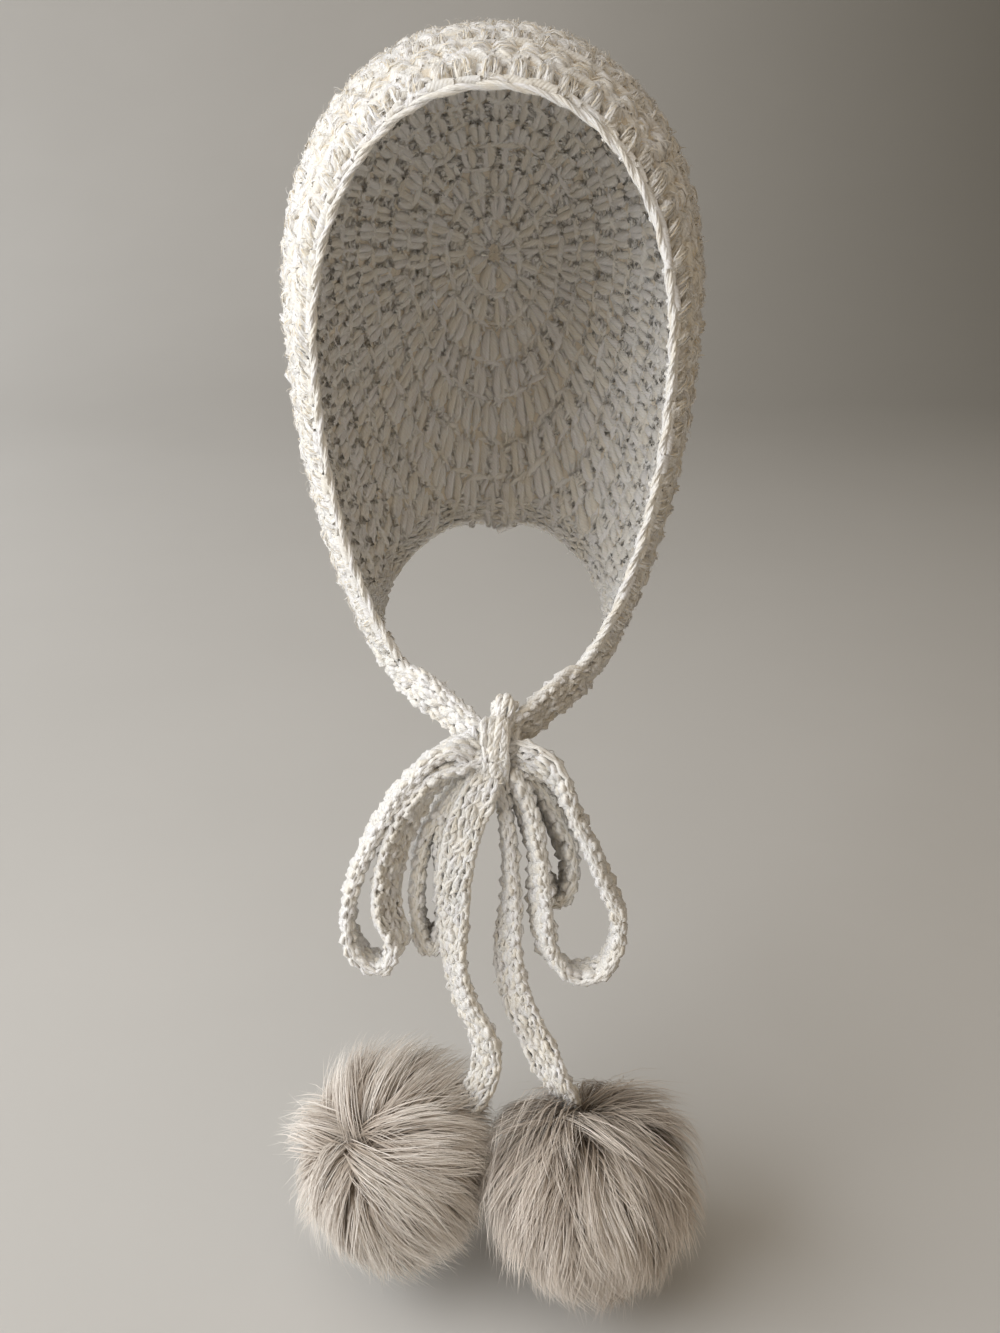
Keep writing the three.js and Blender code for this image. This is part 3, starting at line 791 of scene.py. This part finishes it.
def band_edges(band, line, row):
    """Two strands along each edge, wound round each other."""
    parts = []
    for side in (1, -1):
        for share in (0.0, 0.5):
            turn = 2 * PI * (line / (2.0 * row) + share)
            c = side * (0.43 + 0.075 * np.abs(cos(turn)))
            points, out = band.point(line, c, 0.9 * sin(turn))
            parts.append(tubes(points, rng.uniform(0.8, 1.25, line.shape), out, sides=4))
    return parts


def band_stitches(band, columns=3, row=BAND_ROW):
    """A crocheted band: columns of small V stitches on both faces, with strands across."""
    add_fuzz(band)
    rows = max(2, round(band.total / row))
    row = band.total / rows
    top = np.mean(band.thick) / 2 - BAND_SUNK
    parts = band_legs(band, rows, columns, row, top)
    parts.append(band_rungs(band, rows, columns, row, top))
    line = linspace(0, band.total, max(8, int(band.total / 2.2)))[None]
    parts.append(band_middle(band, line))
    return parts + band_edges(band, line, row)


NECK_BAND = {"wide": 12, "thick": 4.6, "drop": 6.3}  # drop: its middle line below the hood's edge


def edge_point(stage, side):
    return hood_point(stage, side * neck_half(stage))


def neck_section(v, side):
    """The band's middle, the direction of its width and the hood's direction along, at a stage."""
    point, along, out = hood_frame(v, side * neck_half(v))
    step = 2e-3
    edge = np.array([side, 0.0, 0.0])
    if v - step >= NAPE_STAGE:
        edge = unit(edge_point(v, side) - edge_point(v - step, side))
    across = unit(np.cross(edge, out) * side)
    if across[2] > 0:
        across = -across
    return point + across * NECK_BAND["drop"], across, along


def neck_sections():
    """Sections from the left front corner round the nape to the right one."""
    back = (90 - NECK["nape"]) / 90
    places = [1 - back * cos(math.radians(a)) for a in (15, 30, 45, 60, 75, 90)]
    places += [1.5, 2, 2.25, 2.5, 2.75, 3]
    left = [neck_section(v, -1) for v in reversed(places)]
    return [*left, neck_section(NAPE_STAGE, 1), *(neck_section(v, 1) for v in places)]


neck = neck_sections()
middles, across, _ = zip(*neck)
neck_band = Band(middles, across, [NECK_BAND["wide"]] * len(neck), NECK_BAND["thick"])
yarn_piece("neck_band_stitches", band_stitches(neck_band), YARN_FINE, "neck_band")

KNOT = (1, -84, -254)
# The ties' sections: offset from the middle, y, z, lean of the width, width
TIE = [
    (30, -59.5, -238, 0.36, 14.5),
    (20, -67.5, -243, 0.32, 14.5),
    (11.5, -75, -247.5, 0.25, 13.5),
    (3, -81, -251, 0.15, 12.5),
]
TIE_REACH = 40  # how far out the knot's own offset fades out
TIE_START = 5.0  # how far the ties start inside the hood's corner
TIE_ROW = 5.2
LEAD_ANGLES = np.radians([8.0, 5.0, 2.0])  # where the upper edge's strand leaves the braid
LEAD_POINTS = 48
LEAD_RADIUS = [0, 0.22, 0.4, 1], [1.3, 2.3, 2.2, 1.7]  # places along it, and radii


def tie(name, side, start):
    corner, corner_across, along = start
    at = [(side * o + KNOT[0] * (1 - o / TIE_REACH), y, z) for o, y, z, _, _ in TIE]
    across = [(side * lean, 0.25, -1) for _, _, _, lean, _ in TIE]
    wide = [NECK_BAND["wide"]] + [w for *_, w in TIE]
    strip = Band([corner - along * TIE_START] + at, [corner_across] + across, wide, NECK_BAND["thick"])
    parts = band_stitches(strip, row=TIE_ROW)
    line = linspace(0, strip.total, 28)[None]
    edge, edge_out = strip.point(line, np.full(line.shape, -0.44), 0.5 * sin(line))
    # The strand of the upper edge comes out of the braid
    lead, along, lead_out = hood_frame(3.0, side * (neck_half(3.0) + LEAD_ANGLES))
    lead = lead + along * 0.3 + unit(along - 0.2 * lead_out) * 3.0
    points = catmull(np.concatenate([lead, edge[0, 5::3]]), LEAD_POINTS)
    out = unit(catmull(np.concatenate([lead_out, edge_out[0, 5::3]]), LEAD_POINTS))
    radius = interp(linspace(0, 1, LEAD_POINTS), *LEAD_RADIUS)
    parts += plied(points[None], radius[None], out[None], plies=4, turn=15.0, sides=4)
    yarn_piece(f"tie_{name}_stitches", parts, YARN_FINE, f"tie_{name}")


tie("left", -1, neck[0])
tie("right", 1, neck[-1])

# Routes of the loops and tails: x, y, z, and where they aren't as usual the turn, width and tilt
LOOP_THICK = 4.2
USUAL = {"turn": 0, "wide": 13, "tilt": 0}
LOOPS = {
    "right_front": [
        (5, -83, -258, 60, 13, 50), (14, -87, -257, 50, 17, 66), (23, -88, -262, 20, 17, 48),
        (33, -88, -282, 0, 13, 8), (43, -90, -305), (51, -92, -329), (46, -94, -348),
        (34, -93, -353, 5), (23, -92, -343, 30), (19, -90, -322, 35), (18, -88, -300, 20),
        (14, -86, -279, 20), (6, -84, -262, 40),
    ],
    "right_back": [
        (5, -80, -259, 40), (15, -79, -271, 35), (22, -79, -283, 35), (29, -80, -299, 30),
        (31, -81, -315, 10), (26, -81, -324), (20, -80, -311), (13, -78, -286),
        (4, -79, -262),
    ],
    "left_front": [
        (-3, -84, -254, -40), (-13, -86, -251, -40), (-25, -87, -257, -15), (-38, -88, -273),
        (-50, -90, -294), (-58, -92, -318), (-57, -94, -338), (-47, -96, -346),
        (-39, -96, -337, -25), (-43, -94, -320, -50), (-41, -92, -302, -50), (-35, -90, -283, -50),
        (-22, -88, -264, -45), (-4, -85, -256, -40),
    ],
    "left_back": [
        (-2, -80, -260), (-15, -80, -274), (-26, -80, -291), (-31, -82, -314),
        (-31, -83, -334), (-26, -84, -346), (-21, -83, -334), (-21, -82, -312),
        (-20, -81, -288), (-12, -81, -268), (-1, -81, -258),
    ],
}
TAILS = {
    "left": [
        (0, -88, -256, -100, 10), (-5, -92, -268, -106, 13), (-11, -93, -283, -108, 13.5),
        (-15, -95, -302, -112, 13.5), (-16, -96, -322, -122, 13), (-16, -98, -343, -138, 12.5),
        (-12, -99, -361, -138, 12.5), (-5, -101, -377, -125, 12.5), (-3, -103, -392, -120, 12.5),
        (-7, -105, -405, -120, 12), (-14, -106, -414, -120, 12), (-24, -109, -421, -120, 11),
    ],
    "right": [
        (2, -82, -262, 0, 10), (5, -83, -282, 5, 13), (7, -85, -305, 10, 13), (7, -88, -324, 25, 13),
        (6, -92, -344, 50, 13), (10, -97, -364, 65, 13), (17, -102, -379, 65, 13),
        (25, -110, -393, 60, 13), (30, -108, -404, 60, 12), (31, -102, -414, 60, 12),
    ],
}


def hanging(route):
    usual = tuple(USUAL.values())
    x, y, z, turn, wide, tilt = np.array([(*r, *usual[len(r) - 3 :]) for r in route], float).T
    turn, tilt = np.radians(turn), np.radians(tilt)
    across = stack([sin(turn) * cos(tilt), -cos(turn) * cos(tilt), sin(tilt)], -1)
    return Band(stack([x, y, z], -1), across, wide, LOOP_THICK)


for side in ("right", "left"):
    parts = band_stitches(hanging(LOOPS[f"{side}_front"])) + band_stitches(hanging(LOOPS[f"{side}_back"]))
    yarn_piece(f"bow_loops_{side}_stitches", parts, YARN_FINE, f"bow_loops_{side}")
    yarn_piece(f"tail_{side}_stitches", band_stitches(hanging(TAILS[side])), YARN_FINE, f"tail_{side}")


# The knot: strands wound over the middle, and the crossing above it
def ring_band(centre, y_reach, z_reach, wide, thick):
    turn = linspace(0, 2 * PI, 17)
    x, y, z = centre
    at = stack([x + 0 * turn, y - y_reach * cos(turn), z + z_reach * sin(turn)], -1)
    return Band(at, np.tile([1.0, 0, 0], (len(at), 1)), [wide] * len(at), thick)


def wound(centre, y_reach, z_reach, span, size, lean, crown, count=5):
    """Strands side by side over a span, wound to rings that are smaller at the sides."""
    turn = linspace(0, 2 * PI, 49)
    x, y, z = centre
    parts = []
    for k in range(count):
        share = (k + 0.5) / count - 0.5
        round_ = math.sqrt(1 - crown * share**2)
        sway = 0.7 * sin(2 * turn + 2.3 * k) + lean * sin(turn)
        lump = 1 + 0.05 * sin(5 * turn + 1.7 * k)
        y_at = y - y_reach * round_ * lump * cos(turn)
        at = stack([x + span * share + sway, y_at, z + z_reach * round_ * sin(turn)], -1)
        outward = unit(at - np.array([x, y, z]))
        radius = size * (1 + 0.12 * sin(4 * turn + k))
        parts += plied(at[None], radius[None], outward[None], plies=4, turn=12.0, sides=5, loose=0.08)
    return parts


CROSSING = (4, -76.5, -240.8)
KNOT_BACK = (1, -79, -255)
knot_cord = wound(KNOT, 8.0, 13.4, span=9.2, size=1.85, lean=1.1, crown=2.6)
knot_cord += wound(CROSSING, 4.6, 6.6, span=9.0, size=1.5, lean=0.8, crown=4.6)
yarn_piece("knot_strands", knot_cord, YARN_CORD, "bow_knot")
knot_parts = band_stitches(ring_band(KNOT, 7.2, 12.6, wide=9.0, thick=1.8), columns=2, row=5.4)
knot_parts += band_stitches(ring_band(KNOT_BACK, 4.6, 8.0, wide=18, thick=3.8), columns=4, row=5.0)
yarn_piece("knot_stitches", knot_parts, YARN_FINE, "bow_knot")


# The pompoms: long fur in locks that start at a crown and fall away from it. For each one, its
# middle, the form's half size, the direction of the crown, and that in which the hair is drawn
POMPOMS = {
    "left": ((-43, -110, -436), (34, 36, 34), (-0.40, -0.76, 0.44), (0.30, 0, -0.68)),
    "right": ((40, -119, -438), (36, 38, 33), (-0.25, 0.58, 0.78), (0, 0, -0.75)),
}
LOCKS, TUFTS, HAIRS, HAIR_POINTS = 150, 8, 13, 5
HAIR_WIDE = 0.46
LIFT = 0.30  # how much further out the hair stands on the upper side
LOOSE = 0.20  # the share of loose hairs
PARTING = 0.17  # how far behind the middle of its lock a hair starts
DROOP = np.array([0, -4.0, -8.0])  # how far the tips on the lower side hang down
FUR_LIMITS = {"x": 86.0, "y": -170.0, "z": -492.0}
# Where the pompoms press together: the plane, how far it moves to the left low in front, where
# that begins and over what length, and the share of the hair's way past it that is taken away
MEETING = {"x": -0.5, "shift": 7.0, "y": -118, "z": -415, "over": 25, "pressed": 0.92}
CORE_GAP = 1.0  # between the cores


def sphere_points(count):
    i = arange(count)
    height = 1 - 2 * (i + 0.5) / count
    turn = i * PI * (3 - math.sqrt(5))
    ring = np.sqrt(1 - height**2)
    return stack([ring * cos(turn), ring * sin(turn), height], -1)


def hair_paths(side, lock, tuft):
    """Paths of the hairs, in tufts, and the tufts in locks, and which hairs are loose."""

    def of_lock(values):
        return values[lock][:, None]

    at, head, top, fall = np.array(POMPOMS[side], float)
    top = unit(top)
    total, all_tufts = len(lock), LOCKS * TUFTS
    start = unit(sphere_points(LOCKS) + normal((LOCKS, 3), 0.07))
    fall = fall - top
    fall = unit(fall - dot(start, fall) * start + normal((LOCKS, 3), 0.10))
    side_way = unit(np.cross(start, fall))
    travel = rng.uniform(0.95, 1.40, LOCKS)
    swing = normal(LOCKS, 0.30)
    tuft_off = normal((all_tufts, 2), 0.13)[tuft]
    hair_off = normal((total, 2), 0.055)
    loose = rng.uniform(0, 1, total) < LOOSE
    hair_tip = normal((total, 2), 0.05) + where(loose[:, None], normal((total, 2), 0.20), 0)
    long = rng.uniform(0.70, 1.10, total) * rng.uniform(0.90, 1.08, all_tufts)[tuft]
    t = linspace(0, 1, HAIR_POINTS)[None, :] * long[:, None]
    from_crown = np.arccos(clip(start @ top, -1, 1)) + 0.02
    go = of_lock(travel) * (0.10 * t + 0.90 * t**1.35) - of_lock(np.minimum(PARTING, from_crown))
    layer = (normal(LOCKS, 0.035)[lock] + normal(all_tufts, 0.022)[tuft])[:, None]
    out = 0.76 + 0.47 * sin(clip(t, 0, 1.1) * PI / 2 * 0.92)
    out = out + (layer + normal((total, 1), 0.02)) * t
    high = of_lock(clip(start[:, 2], 0, 1))
    out = out + LIFT * high * t**2 + where(loose[:, None], 0.09 * t**2, 0)
    root_off, tip_off = tuft_off + hair_off, 0.80 * tuft_off + 0.70 * hair_off + hair_tip
    gather = mix(root_off[:, None, :], tip_off[:, None, :], t[..., None])
    wave = normal((all_tufts, 1), 0.06)[tuft]
    wave = wave * sin(3.0 * t + rng.uniform(0, 6, (all_tufts, 1))[tuft])
    go = go + gather[..., 0]
    bend = gather[..., 1] + (of_lock(swing) * t**2 + wave)
    way = of_lock(start) + of_lock(fall) * go[..., None] + of_lock(side_way) * bend[..., None]
    hang = of_lock(clip(0.7 - start[:, 2], 0, 1)) * t**2
    return unit(way) * out[..., None] * head + hang[..., None] * DROOP + at, loose


def kept_apart(path, side):
    """The hair stays on its side where the pompoms press together, the right one a little in front."""
    x, y, z = np.moveaxis(path, -1, 0)
    over, pressed = MEETING["over"], MEETING["pressed"]
    front = clip((MEETING["y"] - y) / over, 0, 1) * clip((MEETING["z"] - z) / over, 0, 1)
    edge = MEETING["x"] - MEETING["shift"] * front
    reach = rng.uniform(-1.0, 2.5, (len(path), 1))
    if side == "left":
        path[..., 0] -= np.maximum(x - (edge + reach), 0) * pressed
    else:
        path[..., 0] += np.maximum((edge - reach) - x, 0) * pressed
    path[..., 2] = np.maximum(path[..., 2], FUR_LIMITS["z"] + 3 * rng.uniform(0, 1, (len(path), 1)))
    path[..., 1] += 0.75 * np.maximum(FUR_LIMITS["y"] - path[..., 1], 0)
    path[..., 0] -= 0.6 * np.maximum(path[..., 0] - FUR_LIMITS["x"], 0)
    return path


def pompom(side):
    """Hairs as thin strips, each about square to its path and turned a little."""
    total = LOCKS * TUFTS * HAIRS
    lock = np.repeat(arange(LOCKS), TUFTS * HAIRS)
    tuft = np.repeat(arange(LOCKS * TUFTS), HAIRS)
    path, loose = hair_paths(side, lock, tuft)
    path = kept_apart(path, side)
    tangent = unit(np.gradient(path, axis=1))
    outward = unit(path - POMPOMS[side][0])
    spin = rng.uniform(-0.7, 0.7, (total, 1, 1))
    _, flat, _ = directions(path, unit(np.cross(tangent, outward) + spin * outward))
    share = linspace(0, 1, HAIR_POINTS)
    width = (HAIR_WIDE * (1 - share**2.2) + 0.05)[None, :] * rng.uniform(0.6, 1.25, (total, 1))
    width = width * where(loose, 0.5, 1.0)[:, None]
    tone = rng.uniform(0, 40, LOCKS)[lock]
    tone = tone + rng.uniform(0, 0.6, LOCKS * TUFTS)[tuft] + rng.uniform(0, 0.10, total)
    return ribbons(path, width, flat, tone)


def pompom_core(side, rows=24, columns=36):
    """A lumpy ball behind the hair, dark as painted shade deep in the fur."""
    at, half, *_ = POMPOMS[side]
    p = linspace(0, PI, rows + 1)[:, None]
    a = linspace(0, 2 * PI, columns + 1)[None, :]
    ball = stack([sin(p) * cos(a), sin(p) * sin(a), cos(p) + 0 * a], -1)
    lumps = 0.84 + 0.03 * sin(5 * a + 3 * cos(3 * p)) * sin(p)
    ball = ball * lumps[..., None] * half + at
    x = ball[..., 0]
    plane = MEETING["x"]
    ball[..., 0] = np.minimum(x, plane - CORE_GAP) if side == "left" else np.maximum(x, plane)
    quads, uv = grid(rows, columns, order=(0, 3, 2, 1))
    return add_mesh(f"pompom_{side}_core", ball, quads, uv / rows, ROOT_SHADE)


# The fur's colours: root, middle, tip and light
# The right pompom's tones are darker than the left's: painted shade for the side away from the lamp.
FUR = {
    "left": ((0.22, 0.17, 0.125), (0.50, 0.41, 0.33), (0.94, 0.885, 0.82), (0.94, 0.89, 0.83)),
    "right": ((0.20, 0.155, 0.11), (0.41, 0.335, 0.265), (0.86, 0.78, 0.70), (0.88, 0.81, 0.74)),
}
# The core's tones: very dark browns, painted shade deep in the fur.
ROOT_SHADE_TONES = ((0.13, 0.10, 0.07), (0.20, 0.155, 0.115), (0.24, 0.19, 0.145), (0.28, 0.225, 0.175))
ROOT_SHADE = fur_material("fur_roots_shade", *ROOT_SHADE_TONES, roughness=0.95, specular=0.1)

for side, tones in FUR.items():
    fur = ribbon_mesh(f"pompom_{side}_fur", pompom(side), fur_material(f"fur_{side}", *tones))
    finished(fur, "fur", f"pompom_{side}")
    finished(pompom_core(side), "fur", f"pompom_{side}")


# Loose fibres on the yarn
def fibres(count=5200):
    v = stage_at(rng.uniform(-1, run[-1] * 0.98, count))
    half = neck_half(v)
    angle = half + (2 * PI - 2 * half) * rng.uniform(0, 1, count)
    # Fewer where the section is small, so that they are about as dense everywhere
    keep = rng.uniform(0, 1, count) < clip(section(v)[:, 2] / 75, 0.15, 1)
    point, _, out = hood_frame(v[keep], angle[keep])
    at = np.concatenate([point + out * 1.9, *[a for a, _ in FUZZ]])
    out = np.concatenate([out, *[b for _, b in FUZZ]])
    count = len(at)
    way = unit(np.cross(out, rng.normal(0, 1, (count, 3))))
    other = np.cross(out, way)
    t = linspace(0, 1, 4)[None, :, None]
    on_bands = arange(count) >= keep.sum()
    long = rng.uniform(1.6, 5.0, (count, 1, 1)) * where(on_bands, 0.7, 1.0)[:, None, None]
    lift = rng.uniform(0.0, 1.0, (count, 1, 1)) ** 3 * 0.6 + 0.05
    curl = rng.normal(0, 0.5, (count, 1, 1))
    path = (
        at[:, None]
        + way[:, None] * long * t
        + out[:, None] * long * lift * sin(t * PI * 0.75)
        + other[:, None] * long * curl * (t**2 - 0.3 * t)
    )
    width = np.array([0.24, 0.24, 0.18, 0.0])[None] * rng.uniform(0.7, 1.5, (count, 1))
    flat = unit(np.cross(unit(np.gradient(path, axis=1)), out[:, None]))
    return ribbons(path, width, flat)


finished(ribbon_mesh("yarn_fibres", fibres(), FIBRE), "yarn")
threads = ribbons(*(np.concatenate(arrays) for arrays in zip(*THREADS)))
finished(ribbon_mesh("yarn_threads", threads, FIBRE), "yarn")


# The stage: floor, light and camera
FLOOR = {"z": -496, "half": 7000, "front": -6000, "bend": 1200, "radius": 1500, "top": 5000}


def floor():
    """A pale floor that sweeps up far behind, darker there, and darker still towards the right as painted
    shade.
    """
    n = Nodes("pale_floor")
    place = n.coordinates("Object")
    x, y = n.split(place)
    grain = n.noise(place, scale=6.0, detail=3.0)
    near = n.blend(grain, (0.65, 0.64, 0.62), (0.69, 0.68, 0.66))
    far = n.blend(grain, (0.48, 0.47, 0.45), (0.51, 0.50, 0.48))
    # Painted shade: the part far behind darkens towards the right.
    far = n.layers(far, (x, 0.0, 1.1, (0.19, 0.185, 0.165)))
    n.surface(n.layers(near, (y, 0.1, 1.3, far)), Roughness=0.9)
    turn = linspace(0, PI / 2, 17)[1:]
    bend, radius, low = FLOOR["bend"], FLOOR["radius"], FLOOR["z"]
    y = [FLOOR["front"], bend, *(bend + radius * sin(turn)), bend + radius]
    z = [low, low, *(low + radius * (1 - cos(turn))), FLOOR["top"]]
    points = np.array([(x, a, b) for a, b in zip(y, z) for x in (-FLOOR["half"], FLOOR["half"])], float)
    quads = 2 * arange(len(y) - 1)[:, None] + [0, 1, 3, 2]
    add_mesh("floor", points, quads, np.tile(SQUARE, (len(quads), 1)), n.material)


floor()


def lamp(name, place, aim, size, power, colour):
    data = bpy.data.lights.new(name, "AREA")
    data.size = size
    data.energy = power
    data.color = colour
    obj = linked(name, data)
    obj.location = place
    obj.rotation_euler = (Vector(aim) - Vector(place)).to_track_quat("-Z", "Y").to_euler()


lamp("window", (-1.5, -0.64, 0.34), (0, -0.02, -0.24), size=2.1, power=42, colour=(0.94, 0.97, 1.0))
lamp("ceiling", (-0.4, -0.4, 1.8), (0, 0, -0.2), size=1.4, power=7, colour=(1.0, 0.985, 0.96))
lamp("room", (1.6, -1.0, -0.1), (0, 0, -0.25), size=1.6, power=0.6, colour=(1.0, 0.88, 0.72))
lamp("window_far", (-1.5, 0.9, 0.3), (-0.6, 2.2, -0.1), size=0.8, power=12, colour=(0.93, 0.96, 1.0))

world = bpy.data.worlds.new("studio")
world.use_nodes = True
set_inputs(world.node_tree.nodes["Background"], Color=(1.0, 0.81, 0.58), Strength=0.27)
bpy.context.scene.world = world
bpy.context.scene.view_settings.view_transform = "Standard"

# The camera that fits the photo: focal length in the photo's pixels, photo height, pitch down
FOCAL_PIXELS = 1500
PHOTO_HEIGHT = 1333
PITCH = 25.1
camera = bpy.data.cameras.new("camera")
camera.sensor_width = 36
camera.lens = FOCAL_PIXELS / PHOTO_HEIGHT * camera.sensor_width
camera.clip_start = 0.01
camera.clip_end = 50
eye = linked("camera", camera)
eye.location = (0.0027, -0.600, 0.024)
eye.rotation_euler = (math.radians(90 - PITCH), 0, 0)
bpy.context.scene.camera = eye

bpy.context.view_layer.update()
